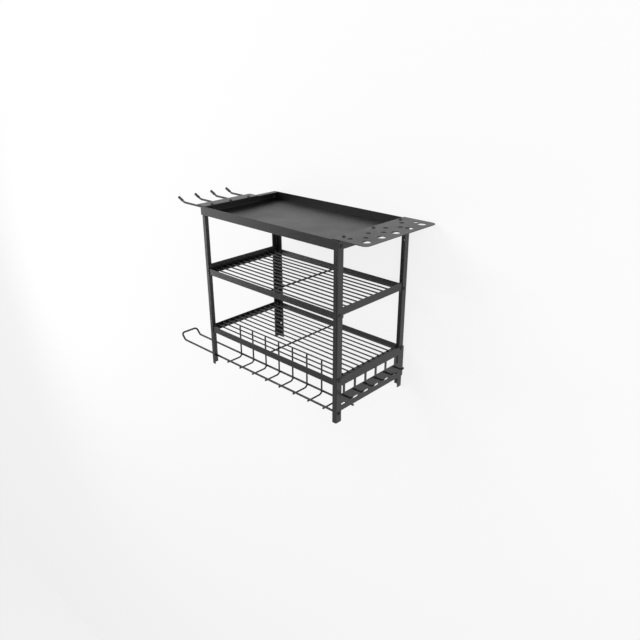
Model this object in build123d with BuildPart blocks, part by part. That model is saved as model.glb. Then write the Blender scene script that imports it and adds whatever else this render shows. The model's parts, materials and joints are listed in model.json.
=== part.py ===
from build123d import *
import os

# Wall mounted rack for power tools, in black coated steel.
# Millimetres. X is to the right, Y points into the wall, Z is up.
# The origin is the centre of the four wall holes, on the wall's face.

# Overall sizes of the frame
rack_width = 430.0
rack_depth = 238.0
post_height = 410.0
post_below_centre = 202.0
sheet = 1.5
bend_radius = 2.0
fit_gap = 0.3
cut_overrun = 5.0

# Corner posts, folded angles
front_leg = 11.0
front_side_leg = 17.0
wall_leg = 20.0
back_side_leg = 16.0
wall_hole_spacing = 320.0
wall_hole_diameter = 6.5
wall_hole_inset = 10.0

# Screws and nuts
screw_diameter = 5.0
screw_clearance = 0.2
screw_head_diameter = 8.0
screw_head_height = 2.4
screw_head_chamfer = 1.2
screw_socket_width = 3.0
screw_socket_depth = 1.5
screw_stick_out = 1.5
nut_width = 8.0
nut_thickness = 4.0
nut_chamfer = 0.5
screw_inset = 9.0

# Top tray, a folded channel with inward flanges, closed by a front and a back wall
tray_drop = 18.0
tray_height = 20.7
tray_flange = 16.0
tray_screw_rise = 7.5
post_notch_gap = 0.5

# Wire shelves
rail_thickness = 2.0
rail_height = 15.5
rail_ear_length = 18.0
middle_shelf_rise = 244.0
middle_side_rise = 8.6
middle_side_height = 15.0
middle_screw_rise = 8.5
lower_shelf_rise = 90.5
lower_side_height = 17.0
lower_screw_rise = 12.0
shelf_bar_diameter = 3.5
shelf_bar_count = 17
shelf_bar_rise = 12.0
cross_bar_diameter = 4.0
cross_bar_count = 3

# Drill rack, two long rods joined in a raised loop on the left
rod_diameter = 5.0
rack_wire_diameter = 4.0
rack_rod_rise = 21.0
rack_front_inset = 10.6
rack_hanger_bar_count = 5
rack_wire_count = 8
rack_left_cell = 52.0
rack_right_cell = 46.2
rack_wire_bend = 8.0
loop_reach = 131.0
loop_nose_run = 14.0
loop_nose_rise = 16.0
loop_kink_radius = 9.0
loop_corner_radius = 8.0
rod_hole_clearance = 0.3
cap_nut_diameter = 7.4
cap_nut_height = 4.0
cap_nut_chamfer = 1.2
cap_nut_bore_depth = 2.5

# Hammer rack on the left of the tray
hammer_strip_length = 165.0
hammer_strip_overhang = 15.5
hammer_prong_count = 4
hammer_front_margin = 3.0
hammer_back_margin = 15.0
hammer_prong_reach = 70.0
hammer_tip_run = 22.0
hammer_tip_rise = 10.0
hammer_kink_radius = 14.0
sleeve_wall = 0.9
sleeve_length = 16.0
sleeve_end = 1.2

# Tool plate on the right of the tray
tool_plate_reach = 70.0
tool_plate_corner = 12.0
ratchet_hole_diameter = 18.0
ratchet_hole_count = 5
ratchet_row_margin = 26.25
ratchet_hole_inset = 21.0
driver_hole_diameter = 11.0
driver_hole_count = 4
driver_row_margin = 34.25
driver_row_pitch = 18.0
driver_row_shift = 26.0
driver_row_inset = 12.0
flange_screw_count = 3
flange_screw_inset = 8.0
flange_screw_margin = 26.0

# Plier rack on the right of the lower shelf
plier_plate_height = 80.0
plier_plate_drop = 2.0
plier_plate_corner = 3.0
plier_window_spacing = 6.5
plier_window_height = 20.0
plier_window_drop = 19.0
plier_window_count = 5
plier_front_margin = 24.0
plier_back_margin = 31.5
plier_end_slot_width = 8.0
plier_slot_width = 22.0
plier_slot_height = 4.5
plier_slot_rise = 15.0
peg_diameter = 4.5
peg_drop = 46.0
peg_reach = 20.0
peg_tip_run = 4.0
peg_tip_rise = 6.0
peg_bend = 5.0

# Places worked out from the sizes above
half_width = rack_width / 2
front_y = -rack_depth
post_bottom_z = -post_below_centre
hole_radius = screw_diameter / 2 + screw_clearance
tray_outer_x = half_width + sheet
tray_bottom_z = post_bottom_z + post_height - tray_drop
tray_top_z = tray_bottom_z + tray_height
tray_screw_z = tray_bottom_z + tray_screw_rise
tray_back_y = -sheet
tray_back_wall_x = half_width - sheet - bend_radius
tray_wall_z = tray_bottom_z + tray_height / 2
rail_outer_x = half_width - sheet
rail_inner_x = rail_outer_x - rail_thickness
rail_front_y = front_y + sheet
rail_back_y = -sheet
rail_end_x = rail_outer_x - bend_radius
middle_rail_z = post_bottom_z + middle_shelf_rise
lower_rail_z = post_bottom_z + lower_shelf_rise
middle_screw_z = middle_rail_z + middle_screw_rise
lower_screw_z = lower_rail_z + lower_screw_rise
side_rail_front_y = rail_front_y + rail_thickness
side_rail_back_y = rail_back_y - rail_thickness
shelf_middle_y = (side_rail_front_y + side_rail_back_y) / 2
shelf_bar_pitch = (side_rail_back_y - side_rail_front_y) / (shelf_bar_count + 1)
rack_wire_spacing = rod_diameter / 2 + rack_wire_diameter / 2 + fit_gap
rack_front_y = front_y + rack_front_inset
rack_hanger_y = shelf_middle_y - rack_hanger_bar_count * shelf_bar_pitch
rack_back_y = rack_hanger_y + rack_wire_spacing
rack_rod_z = post_bottom_z + rack_rod_rise
rack_wire_z = rack_rod_z - rack_wire_spacing
rack_wire_pitch = (rack_width - rack_left_cell - rack_right_cell) / (rack_wire_count - 1)
cross_bar_pitch = 2 * rack_wire_pitch
cross_bar_middle_x = (rack_left_cell - rack_right_cell) / 2
hammer_prong_pitch = (hammer_strip_length - hammer_front_margin - hammer_back_margin) / (hammer_prong_count - 1)
tool_plate_length = rack_depth - sheet
ratchet_hole_pitch = (tool_plate_length - 2 * ratchet_row_margin) / (ratchet_hole_count - 1)
driver_hole_pitch = (tool_plate_length - 2 * driver_row_margin) / (driver_hole_count - 1)
plier_peg_pitch = (rack_depth - plier_front_margin - plier_back_margin) / plier_window_count
plier_window_width = plier_peg_pitch - plier_window_spacing
plier_plate_x = half_width
plier_plate_top_z = lower_rail_z + rail_height + plier_plate_drop
peg_z = plier_plate_top_z - peg_drop


def save(piece, name):
    piece.label = name
    export_step(piece, f"parts/{name}.step")


def post_screw_ys():
    """Where the screws through the front and back posts are."""
    return front_y + screw_inset, -screw_inset


def cut_holes_across(places, radius):
    """Round holes along X, at places given as x, y, z."""
    for x, y, z in places:
        with BuildSketch(Plane.YZ.offset(x)) as hole:
            with Locations((y, z)):
                Circle(radius)
        extrude(hole.sketch, amount=cut_overrun, both=True, mode=Mode.SUBTRACT)


def bent_rod(points, radii, diameter):
    """A round rod swept along straight runs that rounded bends join."""
    with BuildPart() as rod:
        with BuildLine() as route:
            FilletPolyline(*points, radius=radii)
        with BuildSketch(Plane(origin=route.line @ 0, z_dir=route.line % 0)):
            Circle(diameter / 2)
        sweep()
    return rod.part


# Corner posts: each is one strip folded to an angle, its corner outwards

def make_post(name, side, at_wall):
    corner_y = 0 if at_wall else front_y
    inward = -1 if at_wall else 1
    face_leg = wall_leg if at_wall else front_leg
    side_leg = back_side_leg if at_wall else front_side_leg
    middle_x = side * (half_width - sheet / 2)
    middle_y = corner_y + inward * sheet / 2
    screw_y = corner_y + inward * screw_inset
    with BuildPart() as post:
        with BuildSketch(Plane.XY.offset(post_bottom_z)):
            with BuildLine():
                FilletPolyline(
                    (side * (half_width - face_leg), middle_y),
                    (middle_x, middle_y),
                    (middle_x, corner_y + inward * side_leg),
                    radius=bend_radius,
                )
            trace(line_width=sheet)
        extrude(amount=post_height)
        levels = (tray_screw_z, middle_screw_z, lower_screw_z)
        cut_holes_across([(middle_x, screw_y, z) for z in levels], hole_radius)
        if at_wall:
            with BuildSketch(Plane.XZ):
                with Locations((side * (half_width - wall_hole_inset), 0)):
                    with GridLocations(0, wall_hole_spacing, 1, 2):
                        Circle(wall_hole_diameter / 2)
            extrude(amount=cut_overrun, both=True, mode=Mode.SUBTRACT)
        else:
            rod_hole = rod_diameter / 2 + rod_hole_clearance
            cut_holes_across([(middle_x, rack_front_y, rack_rod_z)], rod_hole)
    save(post.part, name)


# Top tray: floor, sides and flanges are one folded profile; its two end walls are welded on

def tray_profile():
    wall_x = tray_outer_x - sheet / 2
    top_z = tray_top_z - sheet / 2
    floor_z = tray_bottom_z + sheet / 2
    flange_x = tray_outer_x - sheet - tray_flange
    FilletPolyline(
        (-flange_x, top_z),
        (-wall_x, top_z),
        (-wall_x, floor_z),
        (wall_x, floor_z),
        (wall_x, top_z),
        (flange_x, top_z),
        radius=bend_radius,
    )


def make_top_tray():
    wall_x = tray_outer_x - sheet / 2
    notch_height = 2 * (sheet + bend_radius)
    front_notch_width = front_leg + 2 * post_notch_gap
    front_notch_x = half_width + post_notch_gap - front_notch_width / 2
    back_notch_width = sheet + bend_radius + post_notch_gap
    back_notch_x = half_width + post_notch_gap - back_notch_width / 2
    with BuildPart() as tray:
        with BuildSketch(Plane.XZ.offset(rack_depth)):
            with BuildLine():
                tray_profile()
            trace(line_width=sheet)
        extrude(amount=-(rack_depth - sheet))
        with Locations((0, tray_back_y - sheet / 2, tray_wall_z)):
            Box(2 * tray_back_wall_x, sheet, tray_height, mode=Mode.SUBTRACT)
        for side in (-1, 1):
            with Locations((side * front_notch_x, front_y + front_side_leg / 2, tray_bottom_z)):
                Box(front_notch_width, front_side_leg + 2 * post_notch_gap, notch_height, mode=Mode.SUBTRACT)
            with Locations((side * back_notch_x, -back_side_leg / 2, tray_bottom_z)):
                Box(back_notch_width, back_side_leg + 2 * post_notch_gap, notch_height, mode=Mode.SUBTRACT)
        cut_holes_across([(side * wall_x, y, tray_screw_z) for side in (-1, 1) for y in post_screw_ys()], hole_radius)
        with BuildSketch(Plane.XY.offset(tray_top_z)):
            with Locations(*[(side * flange_screw_x(), y) for side in (-1, 1) for y in flange_screw_ys(side)]):
                Circle(hole_radius)
        extrude(amount=-2 * sheet, mode=Mode.SUBTRACT)
    save(tray.part, "top_tray")


def make_tray_walls():
    """The front wall stands before the posts, the back wall between them."""
    with BuildPart() as front:
        with Locations((0, front_y - sheet / 2, tray_wall_z)):
            Box(2 * tray_outer_x, sheet, tray_height)
        fillet(front.edges().filter_by(Axis.Z).group_by(Axis.Y)[0], sheet / 2)
    save(front.part, "tray_front_wall")
    with BuildPart() as back:
        with Locations((0, tray_back_y - sheet / 2, tray_wall_z)):
            Box(2 * tray_back_wall_x, sheet, tray_height)
    save(back.part, "tray_back_wall")


def flange_screw_x():
    return half_width - flange_screw_inset


def flange_screw_ys(side):
    """Rows of screws through a tray flange, for the rack that lies on it."""
    length = rack_depth if side > 0 else hammer_strip_length
    span = length - 2 * flange_screw_margin
    step = span / (flange_screw_count - 1)
    return [front_y + flange_screw_margin + step * i for i in range(flange_screw_count)]


# Wire shelves: a frame of four flat strips, thin bars across it and three bars below

def make_long_rail(name, rail_z, middle_y):
    with BuildPart() as rail:
        with Locations((0, middle_y, rail_z + rail_height / 2)):
            Box(2 * rail_end_x, rail_thickness, rail_height)
        fillet(rail.edges().filter_by(Axis.X), rail_thickness / 4)
    save(rail.part, name)


def make_side_rail(name, side, rail_z, rise, height, screw_z):
    """A strip along Y; where it is raised, an ear at each end reaches down to the screws."""
    middle_x = side * (rail_outer_x + rail_inner_x) / 2
    length = side_rail_back_y - side_rail_front_y
    ear_height = rise + height / 2
    ear_spacing = length - rail_ear_length
    with BuildPart() as rail:
        with BuildSketch(Plane.YZ.offset(middle_x)):
            with Locations((shelf_middle_y, rail_z + rise + height / 2)):
                Rectangle(length, height)
            with Locations((shelf_middle_y, rail_z + ear_height / 2)):
                with GridLocations(ear_spacing, 0, 2, 1):
                    Rectangle(rail_ear_length, ear_height)
        extrude(amount=rail_thickness / 2, both=True)
        cut_holes_across([(middle_x, y, screw_z) for y in post_screw_ys()], hole_radius)
    save(rail.part, name)


def make_shelf_bars(name, rail_z):
    with BuildPart() as bars:
        with BuildSketch(Plane.YZ):
            with Locations((shelf_middle_y, rail_z + shelf_bar_rise)):
                with GridLocations(shelf_bar_pitch, 0, shelf_bar_count, 1):
                    Circle(shelf_bar_diameter / 2)
        extrude(amount=rail_inner_x, both=True)
    save(bars.part, name)


def make_cross_bars(name, rail_z):
    """Support bars along Y, each midway between two wires of the drill rack."""
    drop = shelf_bar_diameter / 2 + cross_bar_diameter / 2 + fit_gap
    with BuildPart() as bars:
        with BuildSketch(Plane.XZ.offset(-side_rail_front_y)):
            with Locations((cross_bar_middle_x, rail_z + shelf_bar_rise - drop)):
                with GridLocations(cross_bar_pitch, 0, cross_bar_count, 1):
                    Circle(cross_bar_diameter / 2)
        extrude(amount=side_rail_front_y - side_rail_back_y)
    save(bars.part, name)


def make_shelf(name, rail_z, side_rise, side_height, screw_z):
    make_long_rail(f"{name}_front_rail", rail_z, rail_front_y + rail_thickness / 2)
    make_long_rail(f"{name}_back_rail", rail_z, rail_back_y - rail_thickness / 2)
    make_side_rail(f"{name}_left_rail", -1, rail_z, side_rise, side_height, screw_z)
    make_side_rail(f"{name}_right_rail", 1, rail_z, side_rise, side_height, screw_z)
    make_shelf_bars(f"{name}_bars", rail_z)
    make_cross_bars(f"{name}_cross_bars", rail_z)


# Drill rack: one rod bent into a long loop with a raised nose, and eight hanging wires

def make_drill_rack_rod():
    left_x = -half_width - loop_reach
    nose_x = left_x - loop_nose_run
    nose_z = rack_rod_z + loop_nose_rise
    right_x = half_width + cap_nut_bore_depth - fit_gap
    rod = bent_rod(
        [
            (right_x, rack_front_y, rack_rod_z),
            (left_x, rack_front_y, rack_rod_z),
            (nose_x, rack_front_y, nose_z),
            (nose_x, rack_back_y, nose_z),
            (left_x, rack_back_y, rack_rod_z),
            (half_width - sheet, rack_back_y, rack_rod_z),
        ],
        [loop_kink_radius, loop_corner_radius, loop_corner_radius, loop_kink_radius],
        rod_diameter,
    )
    save(rod, "drill_rack_rod")


def make_drill_rack_wires():
    top_z = lower_rail_z + shelf_bar_rise - shelf_bar_diameter / 2 - fit_gap
    front_end_y = rack_front_y - rod_diameter / 2
    for i in range(rack_wire_count):
        x = rack_left_cell + rack_wire_pitch * i - half_width
        wire = bent_rod(
            [(x, front_end_y, rack_wire_z), (x, rack_hanger_y, rack_wire_z), (x, rack_hanger_y, top_z)],
            rack_wire_bend,
            rack_wire_diameter,
        )
        save(wire, f"drill_rack_wire_{i + 1}")


def make_cap_nut():
    """Round cap on the rod's right end, outside the post."""
    with BuildPart() as nut:
        with BuildSketch(Plane.YZ.offset(half_width)) as outline:
            with Locations((rack_front_y, rack_rod_z)):
                Circle(cap_nut_diameter / 2)
        extrude(outline.sketch, amount=cap_nut_height)
        chamfer(nut.edges().sort_by(Axis.X)[-1], cap_nut_chamfer)
        with BuildSketch(Plane.YZ.offset(half_width)) as bore:
            with Locations((rack_front_y, rack_rod_z)):
                Circle(rod_diameter / 2 + screw_clearance)
        extrude(bore.sketch, amount=cap_nut_bore_depth, mode=Mode.SUBTRACT)
    save(nut.part, "drill_rack_cap_nut")


# Hammer rack: a strip on the tray's left flange carries four prongs with sleeved tips

def hammer_prong_ys():
    return [front_y + hammer_front_margin + hammer_prong_pitch * i for i in range(hammer_prong_count)]


def hammer_tip():
    """The kink and the tip of a prong, as x, z."""
    kink_x = -half_width - hammer_prong_reach
    prong_z = tray_top_z - rod_diameter / 2 - fit_gap
    return kink_x, prong_z, kink_x - hammer_tip_run, prong_z + hammer_tip_rise


def make_hammer_strip():
    inner_x = -half_width + tray_flange
    outer_x = -tray_outer_x - hammer_strip_overhang
    with BuildPart() as strip:
        with BuildSketch(Plane.XY.offset(tray_top_z)) as outline:
            with Locations(((inner_x + outer_x) / 2, front_y + hammer_strip_length / 2)):
                Rectangle(inner_x - outer_x, hammer_strip_length)
            fillet(outline.vertices(), bend_radius)
            with Locations(*[(-flange_screw_x(), y) for y in flange_screw_ys(-1)]):
                Circle(hole_radius, mode=Mode.SUBTRACT)
        extrude(amount=sheet)
    save(strip.part, "hammer_rack_strip")


def make_hammer_prongs():
    kink_x, prong_z, tip_x, tip_z = hammer_tip()
    root_x = -tray_outer_x - fit_gap
    for i, y in enumerate(hammer_prong_ys(), start=1):
        prong = bent_rod(
            [(root_x, y, prong_z), (kink_x, y, prong_z), (tip_x, y, tip_z)], hammer_kink_radius, rod_diameter
        )
        save(prong, f"hammer_prong_{i}")


def make_hammer_sleeves():
    kink_x, prong_z, tip_x, tip_z = hammer_tip()
    slope = Vector(tip_x - kink_x, 0, tip_z - prong_z).normalized()
    bore_radius = rod_diameter / 2 + screw_clearance / 2
    with BuildPart() as sleeves:
        for y in hammer_prong_ys():
            end = Vector(tip_x, y, tip_z) + slope * sleeve_end
            with BuildSketch(Plane(origin=end, z_dir=slope * -1)):
                Circle(bore_radius + sleeve_wall)
            extrude(amount=sleeve_length)
            tip_edges = sleeves.edges().filter_by(GeomType.CIRCLE).sort_by_distance(end)
            chamfer(tip_edges[0], sleeve_wall)
            with BuildSketch(Plane(origin=end - slope * (sleeve_end - screw_clearance / 2), z_dir=slope * -1)):
                Circle(bore_radius)
            extrude(amount=sleeve_length, mode=Mode.SUBTRACT)
    save(sleeves.part, "hammer_prong_sleeves")


# Tool plate: a flat plate on the tray's right flange, drilled for handles and shafts

def make_tool_plate():
    inner_x = half_width - tray_flange
    outer_x = half_width + tool_plate_reach
    middle_y = front_y + tool_plate_length / 2
    driver_x = half_width + driver_row_inset
    with BuildPart() as plate:
        with BuildSketch(Plane.XY.offset(tray_top_z)) as outline:
            with Locations(((inner_x + outer_x) / 2, middle_y)):
                Rectangle(outer_x - inner_x, tool_plate_length)
            fillet(outline.vertices().group_by(Axis.X)[-1], tool_plate_corner)
            with Locations((outer_x - ratchet_hole_inset, middle_y)):
                with GridLocations(0, ratchet_hole_pitch, 1, ratchet_hole_count):
                    Circle(ratchet_hole_diameter / 2, mode=Mode.SUBTRACT)
            for row in range(2):
                row_y = middle_y + (row - 1 / 2) * driver_row_shift
                with Locations((driver_x + row * driver_row_pitch, row_y)):
                    with GridLocations(0, driver_hole_pitch, 1, driver_hole_count):
                        Circle(driver_hole_diameter / 2, mode=Mode.SUBTRACT)
            with Locations(*[(flange_screw_x(), y) for y in flange_screw_ys(1)]):
                Circle(hole_radius, mode=Mode.SUBTRACT)
        extrude(amount=sheet)
    save(plate.part, "tool_plate")


# Plier rack: a windowed plate outside the right posts, with six pegs

def plier_peg_ys():
    return [front_y + plier_front_margin + plier_peg_pitch * i for i in range(plier_window_count + 1)]


def make_plier_plate():
    top_z = plier_plate_top_z
    window_z = top_z - plier_window_drop - plier_window_height / 2
    slot_z = top_z - plier_plate_height + plier_slot_rise
    peg_ys = plier_peg_ys()
    side_gap = plier_window_spacing / 2
    with BuildPart() as plate:
        with BuildSketch(Plane.YZ.offset(plier_plate_x)) as outline:
            with Locations((front_y + rack_depth / 2, top_z - plier_plate_height / 2)):
                Rectangle(rack_depth, plier_plate_height)
            fillet(outline.vertices(), plier_plate_corner)
            for first, second in zip(peg_ys, peg_ys[1:]):
                with Locations(((first + second) / 2, window_z)):
                    Rectangle(plier_window_width, plier_window_height, mode=Mode.SUBTRACT)
            for end_y in (peg_ys[0] - side_gap - plier_end_slot_width / 2,
                          peg_ys[-1] + side_gap + plier_end_slot_width / 2):
                with Locations((end_y, window_z)):
                    Rectangle(plier_end_slot_width, plier_window_height, mode=Mode.SUBTRACT)
            with Locations(*[(y, slot_z) for y in peg_ys]):
                SlotOverall(plier_slot_width, plier_slot_height, mode=Mode.SUBTRACT)
            with Locations(*[(y, lower_screw_z) for y in post_screw_ys()]):
                Circle(hole_radius, mode=Mode.SUBTRACT)
        extrude(amount=sheet)
    save(plate.part, "plier_rack_plate")


def make_plier_pegs():
    root_x = plier_plate_x + sheet
    tip_x = root_x + peg_reach
    for i, y in enumerate(plier_peg_ys(), start=1):
        peg = bent_rod(
            [(root_x, y, peg_z), (tip_x, y, peg_z), (tip_x + peg_tip_run, y, peg_z + peg_tip_rise)],
            peg_bend,
            peg_diameter,
        )
        save(peg, f"plier_peg_{i}")


# Screws and nuts

def make_screw(grip):
    """A button head screw that stands on its head's seat, its shank towards -Z."""
    shank = grip + nut_thickness + screw_stick_out
    with BuildPart() as screw:
        with BuildSketch(Plane.XY):
            Circle(screw_head_diameter / 2)
        extrude(amount=screw_head_height)
        chamfer(screw.edges().sort_by(Axis.Z)[-1], screw_head_chamfer)
        with BuildSketch(Plane.XY):
            Circle(screw_diameter / 2)
        extrude(amount=-shank)
        with BuildSketch(Plane.XY.offset(screw_head_height)):
            RegularPolygon(screw_socket_width / 2, 6, major_radius=False)
        extrude(amount=-screw_socket_depth, mode=Mode.SUBTRACT)
    return screw.part


def make_nut():
    """A hexagon nut with its seat at the origin, its body towards -Z."""
    with BuildPart() as nut:
        with BuildSketch(Plane.XY):
            RegularPolygon(nut_width / 2, 6, major_radius=False)
            Circle(screw_diameter / 2 + screw_clearance / 2, mode=Mode.SUBTRACT)
        extrude(amount=-nut_thickness)
        chamfer(nut.edges().group_by(Axis.Z)[0].filter_by(GeomType.LINE), nut_chamfer)
    return nut.part


def save_set(piece, places, name):
    """Copies of one fastener in one node."""
    with BuildPart() as fasteners:
        with Locations(*places):
            add(piece)
    save(fasteners.part, name)


def side_places(side, seat_x, z):
    """Places on a rack's side for two screws, their heads outwards."""
    tilt = 90 * side
    return [Location((side * seat_x, y, z), (0, tilt, 0)) for y in post_screw_ys()]


def make_fasteners():
    nut = make_nut()
    tray_grip = 2 * sheet
    shelf_grip = sheet + rail_thickness
    plier_grip = shelf_grip + sheet
    tray_screws = side_places(-1, tray_outer_x, tray_screw_z) + side_places(1, tray_outer_x, tray_screw_z)
    tray_nuts = (side_places(-1, tray_outer_x - tray_grip, tray_screw_z)
                 + side_places(1, tray_outer_x - tray_grip, tray_screw_z))
    save_set(make_screw(tray_grip), tray_screws, "tray_screws")
    save_set(nut, tray_nuts, "tray_nuts")
    shelf_screws = (side_places(-1, half_width, middle_screw_z) + side_places(1, half_width, middle_screw_z)
                    + side_places(-1, half_width, lower_screw_z))
    save_set(make_screw(shelf_grip), shelf_screws, "shelf_screws")
    shelf_nuts = []
    for z in (middle_screw_z, lower_screw_z):
        shelf_nuts += side_places(-1, rail_inner_x, z) + side_places(1, rail_inner_x, z)
    save_set(nut, shelf_nuts, "shelf_nuts")
    save_set(make_screw(plier_grip), side_places(1, half_width + sheet, lower_screw_z), "plier_rack_screws")
    flange_places = [(side * flange_screw_x(), y) for side in (-1, 1) for y in flange_screw_ys(side)]
    save_set(make_screw(2 * sheet), [Location((x, y, tray_top_z + sheet)) for x, y in flange_places],
             "side_rack_screws")
    save_set(nut, [Location((x, y, tray_top_z - sheet)) for x, y in flange_places], "side_rack_nuts")


os.makedirs("parts", exist_ok=True)
make_post("post_front_left", -1, False)
make_post("post_front_right", 1, False)
make_post("post_back_left", -1, True)
make_post("post_back_right", 1, True)
make_top_tray()
make_tray_walls()
make_shelf("middle_shelf", middle_rail_z, middle_side_rise, middle_side_height, middle_screw_z)
make_shelf("lower_shelf", lower_rail_z, 0, lower_side_height, lower_screw_z)
make_drill_rack_rod()
make_drill_rack_wires()
make_cap_nut()
make_hammer_strip()
make_hammer_prongs()
make_hammer_sleeves()
make_tool_plate()
make_plier_plate()
make_plier_pegs()
make_fasteners()
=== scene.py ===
# %% [markdown]
# # A wall rack for power tools
#
# The rack is folded black sheet, flat strips and round wire, all with one coat of black powder. The CAD
# model already has its pieces in their real size. This lesson dresses it: it builds the coat, the black
# oxide and the vinyl, rounds the sheet's edges, puts threads on the screws, makes the shelves' wire panels
# anew, adds the welds, and sets up the camera and the light.

# %% Load the CAD model
import json
import math
import random

import bmesh
import bpy
from mathutils import Matrix, Vector


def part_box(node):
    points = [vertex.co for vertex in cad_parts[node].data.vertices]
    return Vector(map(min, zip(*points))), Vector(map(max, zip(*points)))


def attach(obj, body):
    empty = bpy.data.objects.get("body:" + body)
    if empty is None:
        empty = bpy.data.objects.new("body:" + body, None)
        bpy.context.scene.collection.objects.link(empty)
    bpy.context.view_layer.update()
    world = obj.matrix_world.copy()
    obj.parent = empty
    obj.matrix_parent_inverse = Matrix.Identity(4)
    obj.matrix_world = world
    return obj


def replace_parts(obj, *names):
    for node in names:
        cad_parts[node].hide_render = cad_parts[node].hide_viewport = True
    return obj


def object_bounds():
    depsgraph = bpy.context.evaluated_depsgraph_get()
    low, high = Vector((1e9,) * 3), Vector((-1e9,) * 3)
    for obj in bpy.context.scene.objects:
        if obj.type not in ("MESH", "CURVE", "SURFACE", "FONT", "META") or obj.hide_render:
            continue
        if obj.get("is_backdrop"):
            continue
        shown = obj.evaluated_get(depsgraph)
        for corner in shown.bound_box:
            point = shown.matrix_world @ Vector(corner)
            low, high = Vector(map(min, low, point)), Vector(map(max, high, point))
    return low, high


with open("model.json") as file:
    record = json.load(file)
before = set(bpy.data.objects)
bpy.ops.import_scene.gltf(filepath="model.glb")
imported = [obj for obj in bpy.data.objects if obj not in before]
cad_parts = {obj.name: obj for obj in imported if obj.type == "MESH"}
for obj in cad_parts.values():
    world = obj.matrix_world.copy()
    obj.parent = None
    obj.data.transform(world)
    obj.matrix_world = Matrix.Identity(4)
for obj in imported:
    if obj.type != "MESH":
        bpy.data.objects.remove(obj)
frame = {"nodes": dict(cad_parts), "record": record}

MM = 0.001
cad_low, cad_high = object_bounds()
nodes = frame["nodes"]

# %% [markdown]
# ## The black finishes
#
# Three finishes cover the rack. Powder coat is a melted plastic skin, about a tenth of a millimetre thick:
# deep black, softly shining, with a fine orange peel. The screws and nuts are steel with a black oxide
# skin, a thin grey film that is a little blotchy and shines more, but never like bare metal. The sleeves
# on the hammer prongs are dipped vinyl, soft and a little dusty.
#
# Pictures of such surfaces could be wrapped round each piece, but thin wires are hard to unfold. Noise in
# object coordinates needs no unfolding, and its size is the same on the tray and on the thinnest wire. So
# one recipe makes all three: a slow noise varies the colour and the shine, because a plain black would
# look like a hole in the picture, and one or two fine noises bump the surface.

# %% Nodes for an uneven surface
NOISE_LOW = 0.3
NOISE_HIGH = 0.7


def new_material(name):
    material = bpy.data.materials.new(name)
    material.use_nodes = True
    tree = material.node_tree
    shader = tree.nodes["Principled BSDF"]
    return material, tree, shader


def noise(tree, scale, detail):
    coordinates = tree.nodes.new("ShaderNodeTexCoord")
    texture = tree.nodes.new("ShaderNodeTexNoise")
    texture.inputs["Scale"].default_value = scale
    texture.inputs["Detail"].default_value = detail
    tree.links.new(coordinates.outputs["Object"], texture.inputs["Vector"])
    return texture.outputs["Fac"]


def spread(tree, value, low, high):
    """Map a noise value, which stays near its middle, on to the range low to high."""
    mapping = tree.nodes.new("ShaderNodeMapRange")
    mapping.inputs["From Min"].default_value = NOISE_LOW
    mapping.inputs["From Max"].default_value = NOISE_HIGH
    mapping.inputs["To Min"].default_value = low
    mapping.inputs["To Max"].default_value = high
    tree.links.new(value, mapping.inputs["Value"])
    return mapping.outputs["Result"]


def colour_between(tree, factor, dark, light):
    ramp = tree.nodes.new("ShaderNodeValToRGB")
    ramp.color_ramp.elements[0].color = (*dark, 1)
    ramp.color_ramp.elements[1].color = (*light, 1)
    tree.links.new(factor, ramp.inputs["Fac"])
    return ramp.outputs["Color"]


def bump(tree, height, strength, depth, under):
    """Bump a surface; under is the normal of the layer below, or None."""
    node = tree.nodes.new("ShaderNodeBump")
    node.inputs["Strength"].default_value = strength
    node.inputs["Distance"].default_value = depth
    tree.links.new(height, node.inputs["Height"])
    if under is not None:
        tree.links.new(under, node.inputs["Normal"])
    return node.outputs["Normal"]


# %% The recipe for all three finishes


def black_finish(name, blotches, colours, roughness, bumps, gloss):
    """Blotches are a noise's scale and detail; a bump is a noise's scale and detail, strength and depth."""
    material, tree, shader = new_material(name)
    slow = noise(tree, *blotches)
    tree.links.new(colour_between(tree, slow, *colours), shader.inputs["Base Color"])
    tree.links.new(spread(tree, slow, *roughness), shader.inputs["Roughness"])
    normal = None
    for scale, detail, strength, depth in bumps:
        normal = bump(tree, noise(tree, scale, detail), strength, depth, normal)
    tree.links.new(normal, shader.inputs["Normal"])
    shader.inputs["Specular IOR Level"].default_value = gloss
    return material


# %% Powder coat, black oxide and vinyl
finishes = {
    "black_coat": black_finish(
        "black_powder_coat",
        blotches=(14, 3),
        colours=((0.006, 0.0061, 0.0065), (0.010, 0.0102, 0.0108)),
        roughness=(0.35, 0.44),
        bumps=[(900, 2, 0.30, 0.28 * MM), (3200, 1, 0.20, 0.06 * MM)],
        gloss=0.62,
    ),
    "black_screw": black_finish(
        "black_oxide_steel",
        blotches=(220, 3),
        colours=((0.016, 0.016, 0.017), (0.030, 0.030, 0.031)),
        roughness=(0.30, 0.42),
        bumps=[(2400, 2, 0.15, 0.03 * MM)],
        gloss=0.7,
    ),
    "black_vinyl": black_finish(
        "black_vinyl",
        blotches=(160, 4),
        colours=((0.010, 0.010, 0.010), (0.024, 0.024, 0.024)),
        roughness=(0.42, 0.6),
        bumps=[(700, 2, 0.2, 0.06 * MM)],
        gloss=0.5,
    ),
}

# %% Paint the CAD nodes
slots = {entry["node"]: entry["material_slot"] for entry in frame["record"]["subparts"]}
for name, node in nodes.items():
    node.data.materials.clear()
    node.data.materials.append(finishes[slots[name]])
print("painted", len(nodes), "nodes with", len(finishes), "finishes")

# %% [markdown]
# ## Softened edges
#
# A sheared or punched edge is never sharp under paint. The CAD keeps those edges square, which reads as
# paper cut from a picture. They could be rounded in the CAD, which makes its file much larger, so a bevel
# modifier does it here. It rounds only edges between faces that meet at a steep angle, and bends and round
# wires stay as they are. The weld modifier first joins the corners that the file keeps apart, and a planar
# decimate melts the thin triangles of each flat face into one, so that the bevel has clean edges to
# follow.

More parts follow.
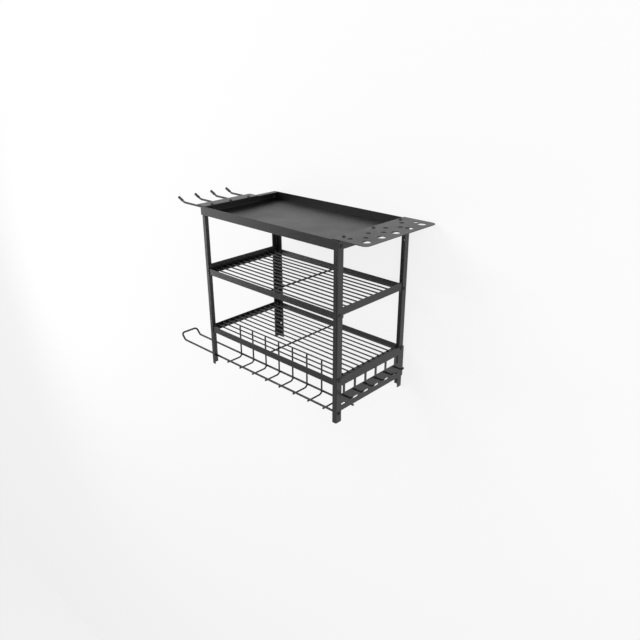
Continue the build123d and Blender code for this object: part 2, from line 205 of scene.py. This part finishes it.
# %% Round the sheet edges
SHEET_EDGE = 0.35 * MM
STRIP_EDGE = 0.25 * MM
EDGE_STEPS = 2
SAME_CORNER = 0.005 * MM
FLAT_ANGLE = math.radians(1)
EDGE_ANGLE = math.radians(50)


def soften(node, width):
    join = node.modifiers.new("join corners", "WELD")
    join.merge_threshold = SAME_CORNER
    melt = node.modifiers.new("flat faces", "DECIMATE")
    melt.decimate_type = "DISSOLVE"
    melt.angle_limit = FLAT_ANGLE
    edge = node.modifiers.new("soft edges", "BEVEL")
    edge.width = width
    edge.segments = EDGE_STEPS
    edge.limit_method = "ANGLE"
    edge.angle_limit = EDGE_ANGLE
    edge.loop_slide = False


sheet_nodes = ["top_tray", "tray_front_wall", "tray_back_wall", "tool_plate"]
sheet_nodes += ["hammer_rack_strip", "plier_rack_plate"]
sheet_nodes += [name for name in nodes if name.startswith("post_")]
strip_nodes = [name for name in nodes if name.endswith("_rail")]
for name in sheet_nodes:
    soften(nodes[name], SHEET_EDGE)
for name in strip_nodes:
    soften(nodes[name], STRIP_EDGE)
print("softened", len(sheet_nodes) + len(strip_nodes), "nodes")

# %% [markdown]
# ## Screws and nuts
#
# A button head screw has a low dome with a hexagon socket, and its thread shows where it comes out of the
# nut. A nut's corners are cut by a cone on both faces. The CAD has plain heads, smooth shanks and simple
# nuts.
#
# A socket could be cut with a boolean and a thread wound with a screw modifier, but both leave meshes that
# shade badly. Here each one is a stack of rings round one line: circles for the dome, hexagons for the
# socket, and rings whose radius follows a helix for the thread. All rings have the same number of points,
# so the faces between them are simple quads. The places come from the CAD's own solids.

# %% Make a mesh a piece of the rack


def finish_piece(name, mesh, slot, sharp=None):
    """Make an object of a mesh, smooth it but for edges sharper than an angle, and ride it on the rack."""
    bmesh.ops.recalc_face_normals(mesh, faces=mesh.faces)
    data = bpy.data.meshes.new(name)
    mesh.to_mesh(data)
    mesh.free()
    for polygon in data.polygons:
        polygon.use_smooth = True
    if sharp is not None:
        data.set_sharp_from_angle(angle=math.radians(sharp))
    piece = bpy.data.objects.new(name, data)
    bpy.context.scene.collection.objects.link(piece)
    data.materials.append(finishes[slot])
    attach(piece, "root")
    print(name, "has", len(data.polygons), "faces")
    return piece


# %% Rings and stacks of rings
AROUND = 24
HEXAGON_SIDE = math.pi / 3
QUARTER_TURN = math.pi / 2


def turned(radius, height):
    """A ring about Z; radius and height are numbers, or functions of the angle."""
    ring = []
    for i in range(AROUND):
        angle = 2 * math.pi * i / AROUND
        r = radius(angle) if callable(radius) else radius
        z = height(angle) if callable(height) else height
        ring.append((r * math.cos(angle), r * math.sin(angle), z))
    return ring


def hexagon(across):
    """The radius of a hexagon at an angle, from its width across flats."""
    return lambda angle: across / 2 / math.cos(angle % HEXAGON_SIDE - HEXAGON_SIDE / 2)


def stack(mesh, rings, place, closed=False):
    """Join rings by quads; closed joins the last ring to the first, and else both ends get a face."""
    rows = [[mesh.verts.new(place @ Vector(point)) for point in ring] for ring in rings]
    pairs = list(zip(rows, rows[1:]))
    if closed:
        pairs.append((rows[-1], rows[0]))
    for lower, upper in pairs:
        for i in range(AROUND):
            j = (i + 1) % AROUND
            mesh.faces.new((lower[i], lower[j], upper[j], upper[i]))
    if not closed:
        mesh.faces.new(rows[0])
        mesh.faces.new(rows[-1])


def facing(direction):
    """The turn that brings Z to a direction."""
    return Vector((0, 0, 1)).rotation_difference(direction).to_matrix().to_4x4()


# %% Find the separate solids of a node
SAME_POINT = 0.001 * MM
SORT_DIGITS = 4


def box_of(points):
    low = Vector([min(point[axis] for point in points) for axis in range(3)])
    high = Vector([max(point[axis] for point in points) for axis in range(3)])
    return low, high


def solids_of(node):
    """The lowest and highest corner of each separate solid in a node."""
    mesh = bmesh.new()
    mesh.from_mesh(nodes[node].data)
    bmesh.ops.remove_doubles(mesh, verts=mesh.verts, dist=SAME_POINT)
    waiting = set(mesh.verts)
    boxes = []
    while waiting:
        reached = [waiting.pop()]
        points = []
        while reached:
            vertex = reached.pop()
            points.append(vertex.co.copy())
            for edge in vertex.link_edges:
                other = edge.other_vert(vertex)
                if other in waiting:
                    waiting.remove(other)
                    reached.append(other)
        boxes.append(box_of(points))
    mesh.free()
    return sorted(boxes, key=lambda box: tuple(round(value, SORT_DIGITS) for value in box[0]))


print("the tray has", len(solids_of("tray_screws")), "screws")

# %% The places of the screws and nuts
random.seed(3)


def fastener_places(node, head):
    """For each fastener, a matrix that puts its seat at the origin and its head along Z, and its length."""
    for low, high in solids_of(node):
        middle = (low + high) / 2
        if node.startswith("side_rack"):
            outward = Vector((0, 0, 1))
            seat = Vector((middle.x, middle.y, high.z - head))
            length = high.z - low.z
        else:
            side = 1 if middle.x > 0 else -1
            outward = Vector((side, 0, 0))
            outer = high.x if side > 0 else low.x
            seat = Vector((outer - side * head, middle.y, middle.z))
            length = high.x - low.x
        spin = Matrix.Rotation(random.uniform(0, HEXAGON_SIDE), 4, "Z")
        yield Matrix.Translation(seat) @ facing(outward) @ spin, length - head


# %% Threads
SHANK_RADIUS = 2.5 * MM
THREAD_PITCH = 0.8 * MM
THREAD_DEPTH = 0.35 * MM
THREAD_ROWS = 4
TIP_TAPER = 0.5 * MM
THREAD_TOP = -0.02 * MM


def thread_radius(z, length):
    """The radius of a helical thread at a height, which narrows at the screw's end."""
    tip = min(1.0, (z + length) / THREAD_PITCH)

    def radius(angle):
        phase = (z / THREAD_PITCH + angle / (2 * math.pi)) % 1
        groove = 1 - abs(2 * phase - 1)
        return SHANK_RADIUS - THREAD_DEPTH * groove - TIP_TAPER * (1 - tip)

    return radius


def thread_rings(length):
    row = THREAD_PITCH / THREAD_ROWS
    heights = [-length + row * i for i in range(int(length / row) + 1)]
    rings = [turned(thread_radius(z, length), z) for z in heights]
    rings.append(turned(SHANK_RADIUS, THREAD_TOP))
    return rings


# %% Button heads with sockets
HEAD_RADIUS = 4.0 * MM
HEAD_HEIGHT = 2.4 * MM
HEAD_EDGE = 0.2 * MM
DOME_TOP = 1.9 * MM
DOME_STEPS = 7
SOCKET = 3.0 * MM
SOCKET_MOUTH = 3.2 * MM
SOCKET_BREAK = 0.15 * MM
SOCKET_FLOOR = 0.9 * MM
SOCKET_POINT = 0.3 * MM


def head_rings():
    rings = [turned(HEAD_RADIUS - HEAD_EDGE, 0)]
    bulge = HEAD_RADIUS - DOME_TOP
    for i in range(DOME_STEPS + 1):
        angle = QUARTER_TURN * i / DOME_STEPS
        height = HEAD_HEIGHT - bulge + bulge * math.sin(angle)
        rings.append(turned(DOME_TOP + bulge * math.cos(angle), height))
    rings.append(turned(hexagon(SOCKET_MOUTH), HEAD_HEIGHT))
    rings.append(turned(hexagon(SOCKET), HEAD_HEIGHT - SOCKET_BREAK))
    rings.append(turned(hexagon(SOCKET), SOCKET_FLOOR))
    rings.append(turned(SOCKET_POINT, SOCKET_FLOOR - SOCKET_POINT))
    return rings


for node in ("tray_screws", "shelf_screws", "plier_rack_screws", "side_rack_screws"):
    screws = bmesh.new()
    for place, length in fastener_places(node, HEAD_HEIGHT):
        stack(screws, thread_rings(length) + head_rings(), place)
    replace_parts(finish_piece(f"{node}_threaded", screws, "black_screw", sharp=40), node)

# %% Hexagon nuts
NUT_ACROSS = 8.0 * MM
NUT_THICKNESS = 4.0 * MM
NUT_BORE = 2.55 * MM
NUT_BORE_BREAK = 0.4 * MM
NUT_FACE = 3.75 * MM
CHAMFER_SLOPE = math.tan(math.radians(30))


def nut_rings():
    """Both faces have a conical chamfer, which leaves the curved corners of a real nut."""
    outline = hexagon(NUT_ACROSS)

    def drop(angle):
        return (outline(angle) - NUT_FACE) * CHAMFER_SLOPE

    bottom = -NUT_THICKNESS
    return [
        turned(NUT_BORE, -NUT_BORE_BREAK),
        turned(NUT_BORE + NUT_BORE_BREAK, 0),
        turned(NUT_FACE, 0),
        turned(outline, lambda angle: -drop(angle)),
        turned(outline, lambda angle: bottom + drop(angle)),
        turned(NUT_FACE, bottom),
        turned(NUT_BORE + NUT_BORE_BREAK, bottom),
        turned(NUT_BORE, bottom + NUT_BORE_BREAK),
    ]


for node in ("tray_nuts", "shelf_nuts", "side_rack_nuts"):
    nuts = bmesh.new()
    for place, length in fastener_places(node, 0):
        stack(nuts, nut_rings(), place, closed=True)
    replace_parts(finish_piece(f"{node}_chamfered", nuts, "black_screw", sharp=25), node)

# %% [markdown]
# ## The cap on the drill rod and the vinyl sleeves
#
# A small pressed cap covers the end of the drill rack's rod. The hammer prongs end in vinyl sleeves,
# pushed on while warm: each has a rolled lip at its mouth, narrows a little over its length and ends in a
# round tip. They could be cylinders with a bevel, but that gives no lip and no taper. Both are stacks of
# rings again, the sleeves along the slope of the prong's tip.

# %% The rod cap
CAP_RADIUS = 3.7 * MM
CAP_HEIGHT = 4.0 * MM
CAP_STRAIGHT = 1.6 * MM
CAP_RIM = 0.3 * MM
low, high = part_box("drill_rack_cap_nut")
seat = Vector((low.x, (low.y + high.y) / 2, (low.z + high.z) / 2))
rings = [
    turned(CAP_RADIUS - CAP_RIM, 0),
    turned(CAP_RADIUS, CAP_RIM),
    turned(CAP_RADIUS, CAP_STRAIGHT),
]
for i in range(1, DOME_STEPS):
    angle = QUARTER_TURN * i / DOME_STEPS
    height = CAP_STRAIGHT + (CAP_HEIGHT - CAP_STRAIGHT) * math.sin(angle)
    rings.append(turned(CAP_RADIUS * math.cos(angle), height))
cap = bmesh.new()
stack(cap, rings, Matrix.Translation(seat) @ Matrix.Rotation(QUARTER_TURN, 4, "Y"))
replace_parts(finish_piece("drill_rack_rod_cap", cap, "black_screw", sharp=40), "drill_rack_cap_nut")

# %% The vinyl sleeves
PRONG_COUNT = 4
PRONG_RADIUS = 2.5 * MM
TIP_SLOPE = math.atan2(10, 22)
SLEEVE_RADIUS = 3.45 * MM
SLEEVE_LENGTH = 16.0 * MM
SLEEVE_END = 1.2 * MM
SLEEVE_DOME = 2.6 * MM
outward = Vector((-math.cos(TIP_SLOPE), 0, math.sin(TIP_SLOPE)))


def sleeve_rings():
    """From the mouth's inside, over its lip and along the sleeve, to the round tip at the origin."""
    mouth = -SLEEVE_LENGTH
    dome_radius = SLEEVE_RADIUS - 0.15 * MM
    rings = [
        turned(PRONG_RADIUS + 0.02 * MM, mouth + 0.3 * MM),
        turned(PRONG_RADIUS + 0.35 * MM, mouth),
        turned(SLEEVE_RADIUS - 0.1 * MM, mouth + 0.2 * MM),
        turned(SLEEVE_RADIUS, mouth + 0.7 * MM),
        turned(SLEEVE_RADIUS - 0.25 * MM, mouth + 1.4 * MM),
        turned(SLEEVE_RADIUS - 0.3 * MM, mouth / 2),
        turned(dome_radius, -SLEEVE_DOME),
    ]
    for i in range(1, DOME_STEPS):
        angle = QUARTER_TURN * i / DOME_STEPS
        rings.append(turned(dome_radius * math.cos(angle), (math.sin(angle) - 1) * SLEEVE_DOME))
    return rings


sleeves = bmesh.new()
for i in range(1, PRONG_COUNT + 1):
    low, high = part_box(f"hammer_prong_{i}")
    tip_x = low.x + PRONG_RADIUS * math.sin(TIP_SLOPE)
    tip_z = high.z - PRONG_RADIUS * math.cos(TIP_SLOPE)
    tip = Vector((tip_x, (low.y + high.y) / 2, tip_z))
    stack(sleeves, sleeve_rings(), Matrix.Translation(tip + outward * SLEEVE_END) @ facing(outward))
piece = finish_piece("hammer_prong_dipped_sleeves", sleeves, "black_vinyl", sharp=60)
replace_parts(piece, "hammer_prong_sleeves")

# %% [markdown]
# ## The wire panels of the two shelves
#
# A shelf's floor is a panel of twelve thin wires that run along the rack, welded on to three thicker rods
# below them: one near each end and one in the middle. The photograph shows these wires further apart than
# the CAD model has them, and its end rods nearer to the sides, so the panel is made anew here and stands
# for both CAD nodes. Curves with a round bevel would also make wires, but a short stack of rings gives
# each cut end its small round.
#
# Beyond the end rods the photograph is grey between the wires and not white, so something carries their
# ends there: a narrow ledge along each side rail, as if the rail's lower edge were folded in. It stops
# short of the nuts in the corners.

# %% The places of twelve wires and three rods
PANEL_WIRES = 12
WIRE_RADIUS = 1.75 * MM
PANEL_ROD_RADIUS = 2.0 * MM
PANEL_ROD_INSET = 14.5 * MM
WELD_SINK = 0.3 * MM
PANEL_DROP = {"middle_shelf": 2.5 * MM, "lower_shelf": 0.0}


def panel_layout(shelf):
    """The wires' and the rods' ends, wires along X between the side rails and rods along Y below them."""
    wire_low, wire_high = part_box(f"{shelf}_bars")
    rod_low, rod_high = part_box(f"{shelf}_cross_bars")
    wire_z = (wire_low.z + wire_high.z) / 2 - PANEL_DROP[shelf]
    rod_z = wire_z - WIRE_RADIUS - PANEL_ROD_RADIUS + WELD_SINK
    pitch = (rod_high.y - rod_low.y) / (PANEL_WIRES + 1)
    wire_ys = [rod_low.y + pitch * (i + 1) for i in range(PANEL_WIRES)]
    left = wire_low.x + PANEL_ROD_INSET
    right = wire_high.x - PANEL_ROD_INSET
    rod_xs = [left, (wire_low.x + wire_high.x) / 2, right]
    wires = [(Vector((wire_low.x, y, wire_z)), Vector((wire_high.x, y, wire_z))) for y in wire_ys]
    rods = [(Vector((x, rod_low.y, rod_z)), Vector((x, rod_high.y, rod_z))) for x in rod_xs]
    return wires, rods


# %% Wires and rods
CUT_ROUND = 0.3 * MM


def add_wire(mesh, start, end, radius):
    """A straight wire whose cut ends are a little rounded."""
    along = end - start
    rings = [
        turned(radius - CUT_ROUND, 0),
        turned(radius, CUT_ROUND),
        turned(radius, along.length - CUT_ROUND),
        turned(radius - CUT_ROUND, along.length),
    ]
    stack(mesh, rings, Matrix.Translation(start) @ facing(along))


for shelf in PANEL_DROP:
    panel = bmesh.new()
    wires, rods = panel_layout(shelf)
    for start, end in wires:
        add_wire(panel, start, end, WIRE_RADIUS)
    for start, end in rods:
        add_wire(panel, start, end, PANEL_ROD_RADIUS)
    piece = finish_piece(f"{shelf}_wire_panel", panel, "black_coat", sharp=40)
    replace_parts(piece, f"{shelf}_bars", f"{shelf}_cross_bars")

# %% Ledges under the ends of the wires
LEDGE_SHEET = 1.5 * MM
LEDGE_GAP = 13 * MM
FOLD_HEIGHT = 1.0 * MM
FOLD_INNER = 0.1 * MM
FOLD_OUTER = 1.8 * MM


def add_plate(mesh, corner, opposite):
    """A flat plate between two opposite corners."""
    size = Vector([abs(a - b) for a, b in zip(corner, opposite)])
    place = Matrix.Translation((corner + opposite) / 2) @ Matrix.Diagonal((*size, 1))
    bmesh.ops.create_cube(mesh, size=1, matrix=place)


for shelf in PANEL_DROP:
    wires, rods = panel_layout(shelf)
    wire_start, wire_end = wires[0]
    front = rods[0][0].y + LEDGE_GAP
    back = rods[0][1].y - LEDGE_GAP
    top = wire_start.z - WIRE_RADIUS + WELD_SINK
    low = top - LEDGE_SHEET
    ledges = bmesh.new()
    for side, rail_x, rod_x in ((-1, wire_start.x, rods[0][0].x), (1, wire_end.x, rods[-1][0].x)):
        inner = rail_x + side * FOLD_INNER
        outer = rail_x + side * FOLD_OUTER
        add_plate(ledges, Vector((inner + side * STRIP_EDGE, front, top)), Vector((rod_x, back, low)))
        add_plate(ledges, Vector((outer, front, top + FOLD_HEIGHT)), Vector((inner, back, low)))
    bmesh.ops.bevel(ledges, geom=ledges.edges[:], offset=STRIP_EDGE, segments=EDGE_STEPS, affect="EDGES")
    finish_piece(f"{shelf}_ledges", ledges, "black_coat", sharp=60)

# %% [markdown]
# ## Weld beads
#
# Every wire on the rack is held by a resistance weld or a short bead: a small, uneven lump where two
# pieces meet, painted over with the rest. Sculpting each would take long, and a bump would be lost at the
# outline. So a bead is a low sphere, flattened across the seam and pushed about by a little random noise.
# All beads of one sub-assembly go into one mesh, which keeps the piece list short.

# %% A helper for beads
random.seed(7)
BEAD_RINGS = 6
BEAD_SECTORS = 10
BEAD_NOISE = 0.12
ALONG_X = Vector((1, 0, 0))
ALONG_Y = Vector((0, 1, 0))
ALONG_Z = Vector((0, 0, 1))


def add_bead(mesh, centre, size, normal=ALONG_Z):
    """A lump; size is its half width across the seam, along it and along normal, in millimetres."""
    stretch = Matrix.Diagonal((*(Vector(size) * MM), 1))
    place = Matrix.Translation(centre) @ facing(normal) @ stretch
    made = bmesh.ops.create_uvsphere(mesh, u_segments=BEAD_SECTORS, v_segments=BEAD_RINGS, radius=1)
    for vertex in made["verts"]:
        swell = 1 + random.uniform(-BEAD_NOISE, BEAD_NOISE)
        vertex.co = place @ (vertex.co * swell)


# %% Welds of the two shelves
END_BEAD = (2.3, 2.3, 1.0)
CROSSING_BEAD = (1.6, 1.5, 0.8)
ROD_BEAD = (2.6, 2.6, 1.1)
BEAD_OUT = 0.6 * MM

for shelf in PANEL_DROP:
    wires, rods = panel_layout(shelf)
    welds = bmesh.new()
    for start, end in wires:
        add_bead(welds, start + ALONG_X * BEAD_OUT, END_BEAD, ALONG_X)
        add_bead(welds, end - ALONG_X * BEAD_OUT, END_BEAD, ALONG_X)
        for rod_start, _ in rods:
            add_bead(welds, (rod_start.x, start.y, start.z - WIRE_RADIUS), CROSSING_BEAD)
    for start, end in rods:
        add_bead(welds, start + ALONG_Y * BEAD_OUT, ROD_BEAD, ALONG_Y)
        add_bead(welds, end - ALONG_Y * BEAD_OUT, ROD_BEAD, ALONG_Y)
    finish_piece(f"{shelf}_welds", welds, "black_coat")

# %% Welds of the drill rack
DRILL_WIRES = 8
DRILL_ROD_RADIUS = 2.5 * MM
DRILL_WIRE_RADIUS = 2.0 * MM
rod_low, rod_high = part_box("drill_rack_rod")
front_seam_y = rod_low.y + DRILL_ROD_RADIUS
back_rod_front_y = rod_high.y - 2 * DRILL_ROD_RADIUS
shelf_wire_low_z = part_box("lower_shelf_bars")[0].z
welds = bmesh.new()
for i in range(1, DRILL_WIRES + 1):
    low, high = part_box(f"drill_rack_wire_{i}")
    x = (low.x + high.x) / 2
    back_seam_y = (high.y + back_rod_front_y) / 2
    top_seam_z = (high.z + shelf_wire_low_z) / 2
    add_bead(welds, (x, front_seam_y, rod_low.z), (2.1, 1.9, 0.9))
    add_bead(welds, (x, back_seam_y, rod_low.z + DRILL_ROD_RADIUS), (1.9, 2.1, 0.9), ALONG_Y)
    add_bead(welds, (x, high.y - DRILL_WIRE_RADIUS, top_seam_z), (2.2, 2.0, 0.9))
finish_piece("drill_rack_welds", welds, "black_coat")

# %% Welds of the hammer prongs
PRONG_BEAD_SHARES = (0.2, 0.5, 0.8)
PRONG_BEAD_DROP = 0.15 * MM
strip_low, strip_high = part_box("hammer_rack_strip")
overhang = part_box("top_tray")[0].x - strip_low.x
welds = bmesh.new()
for i in range(1, PRONG_COUNT + 1):
    low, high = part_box(f"hammer_prong_{i}")
    for share in PRONG_BEAD_SHARES:
        centre = (strip_low.x + share * overhang, (low.y + high.y) / 2, strip_low.z - PRONG_BEAD_DROP)
        add_bead(welds, centre, (2.2, 1.6, 0.8))
finish_piece("hammer_prong_welds", welds, "black_coat")

# %% Welds of the plier pegs
PEG_COUNT = 6
PEG_RADIUS = 2.25 * MM
PEG_BEAD_OUT = 0.5 * MM
welds = bmesh.new()
for i in range(1, PEG_COUNT + 1):
    low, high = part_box(f"plier_peg_{i}")
    root = (low.x + PEG_BEAD_OUT, (low.y + high.y) / 2, low.z + PEG_RADIUS)
    add_bead(welds, root, (3.0, 3.0, 0.9), ALONG_X)
finish_piece("plier_peg_welds", welds, "black_coat")

# %% [markdown]
# ## The camera
#
# The picture was taken from the right, a little above the rack, with a lens that keeps lines nearly
# parallel. A camera can be set by eye, but then no edge quite fits. This one's place and turn were worked
# out from the rack's own edges, so that each edge of the model falls on the same edge of the photograph.

# %% Place the camera
CAMERA_PLACE = (0.9975, -1.1254, 0.5501)
CAMERA_YAW = 0.752
CAMERA_PITCH = 0.404
FOCAL_PIXELS = 634.0
PICTURE_WIDTH = 640.0
SENSOR = 36.0

camera_data = bpy.data.cameras.new("camera")
camera_data.sensor_width = SENSOR
camera_data.lens = FOCAL_PIXELS / PICTURE_WIDTH * SENSOR
camera = bpy.data.objects.new("camera", camera_data)
camera.location = CAMERA_PLACE
camera.rotation_euler = (math.pi / 2 - CAMERA_PITCH, 0, CAMERA_YAW)
bpy.context.scene.collection.objects.link(camera)
bpy.context.scene.camera = camera
print("lens in millimetres:", round(camera_data.lens, 2))

# %% [markdown]
# ## Wall, floor and light
#
# A black glossy part shows its shape through what it mirrors. The white wall behind it does most of that
# work: it lights the right sides of the posts and the undersides. Strong lamps could make the wall white,
# but they would turn the black coat grey. So the wall and the floor glow a little, only for the camera and
# for mirrors, and still take the rack's shadow. The wall is seen from its front only, so that a view from
# behind still shows the rack.
#
# A large soft lamp stands at the upper left and a weak one at the right. A small third lamp stands low at
# the left, where the front faces mirror it. All three are dim enough for colours to come out as they are
# written.

# %% A white that glows for the eye and in mirrors
WHITE_BASE = (0.22, 0.22, 0.22, 1)
WHITE_ROUGHNESS = 0.9
WHITE_GLOSS = 0.1
WHITE_GLOW = 0.80


def maths(tree, operation, first, second):
    """A maths node; second is a socket or a number."""
    node = tree.nodes.new("ShaderNodeMath")
    node.operation = operation
    tree.links.new(first, node.inputs[0])
    if isinstance(second, float):
        node.inputs[1].default_value = second
    else:
        tree.links.new(second, node.inputs[1])
    return node.outputs["Value"]


def studio_white(name):
    """A pale surface that shows nearly white to the eye and in mirrors, and still takes shadows."""
    material, tree, shader = new_material(name)
    shader.inputs["Base Color"].default_value = WHITE_BASE
    shader.inputs["Roughness"].default_value = WHITE_ROUGHNESS
    shader.inputs["Specular IOR Level"].default_value = WHITE_GLOSS
    shader.inputs["Emission Color"].default_value = (1, 1, 1, 1)
    path = tree.nodes.new("ShaderNodeLightPath").outputs
    mirrored = maths(tree, "MAXIMUM", path["Is Glossy Ray"], path["Is Transmission Ray"])
    seen = maths(tree, "MAXIMUM", path["Is Camera Ray"], mirrored)
    tree.links.new(maths(tree, "MULTIPLY", seen, WHITE_GLOW), shader.inputs["Emission Strength"])
    return material


def clear_from_behind(material):
    tree = material.node_tree
    clear = tree.nodes.new("ShaderNodeBsdfTransparent")
    side = tree.nodes.new("ShaderNodeNewGeometry")
    mix = tree.nodes.new("ShaderNodeMixShader")
    tree.links.new(side.outputs["Backfacing"], mix.inputs["Fac"])
    tree.links.new(tree.nodes["Principled BSDF"].outputs["BSDF"], mix.inputs[1])
    tree.links.new(clear.outputs["BSDF"], mix.inputs[2])
    tree.links.new(mix.outputs["Shader"], tree.nodes["Material Output"].inputs["Surface"])


# %% Wall and floor
STAGE_HALF = 4.0
WALL_GAP = 1.0 * MM
FLOOR_DROP = 2.6


def stage_plane(name, corners, material):
    data = bpy.data.meshes.new(name)
    data.from_pydata(corners, [], [(0, 1, 2, 3)])
    plane = bpy.data.objects.new(name, data)
    data.materials.append(material)
    bpy.context.scene.collection.objects.link(plane)
    plane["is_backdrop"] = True


wall_white = studio_white("wall_white")
clear_from_behind(wall_white)
floor_white = studio_white("floor_white")
wall_y = cad_high.y + WALL_GAP
floor_z = cad_low.z - FLOOR_DROP
wall_corners = [
    (-STAGE_HALF, wall_y, floor_z),
    (STAGE_HALF, wall_y, floor_z),
    (STAGE_HALF, wall_y, STAGE_HALF),
    (-STAGE_HALF, wall_y, STAGE_HALF),
]
floor_corners = [
    (-STAGE_HALF, -STAGE_HALF, floor_z),
    (STAGE_HALF, -STAGE_HALF, floor_z),
    (STAGE_HALF, STAGE_HALF, floor_z),
    (-STAGE_HALF, STAGE_HALF, floor_z),
]
stage_plane("wall", wall_corners, wall_white)
stage_plane("floor", floor_corners, floor_white)
print("the wall is", WALL_GAP, "m behind the rack and the floor", FLOOR_DROP, "m below it")

# %% Lamps
RACK_MIDDLE = Vector((0, -0.12, 0))


def soft_lamp(name, place, width, height, watts):
    """A rectangular lamp that faces the middle of the rack."""
    data = bpy.data.lights.new(name, "AREA")
    data.shape = "RECTANGLE"
    data.size = width
    data.size_y = height
    data.energy = watts
    lamp = bpy.data.objects.new(name, data)
    lamp.location = place
    lamp.rotation_euler = (RACK_MIDDLE - Vector(place)).to_track_quat("-Z", "Y").to_euler()
    bpy.context.scene.collection.objects.link(lamp)
    print(name, "lamp:", watts, "watts")


soft_lamp("key", (-1.3, -1.7, 1.5), width=1.4, height=1.4, watts=28)
soft_lamp("fill", (1.9, -1.2, 0.6), width=1.2, height=1.6, watts=14)
soft_lamp("sheen", (-1.9, -0.95, -0.42), width=0.7, height=0.7, watts=7)

# %% The world's light
WORLD_STRENGTH = 0.36
world = bpy.data.worlds.new("studio")
world.use_nodes = True
background = world.node_tree.nodes["Background"]
background.inputs["Color"].default_value = (1, 1, 1, 1)
background.inputs["Strength"].default_value = WORLD_STRENGTH
bpy.context.scene.world = world
bpy.context.scene.view_settings.view_transform = "Standard"

# %% [markdown]
# ## The size of the dressed part
#
# The box round the dressed part is printed, in metres. The dressed part has to stay in the CAD model's
# box.

# %% Write the sizes
low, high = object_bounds()
print("the visual box in metres:", low, high)
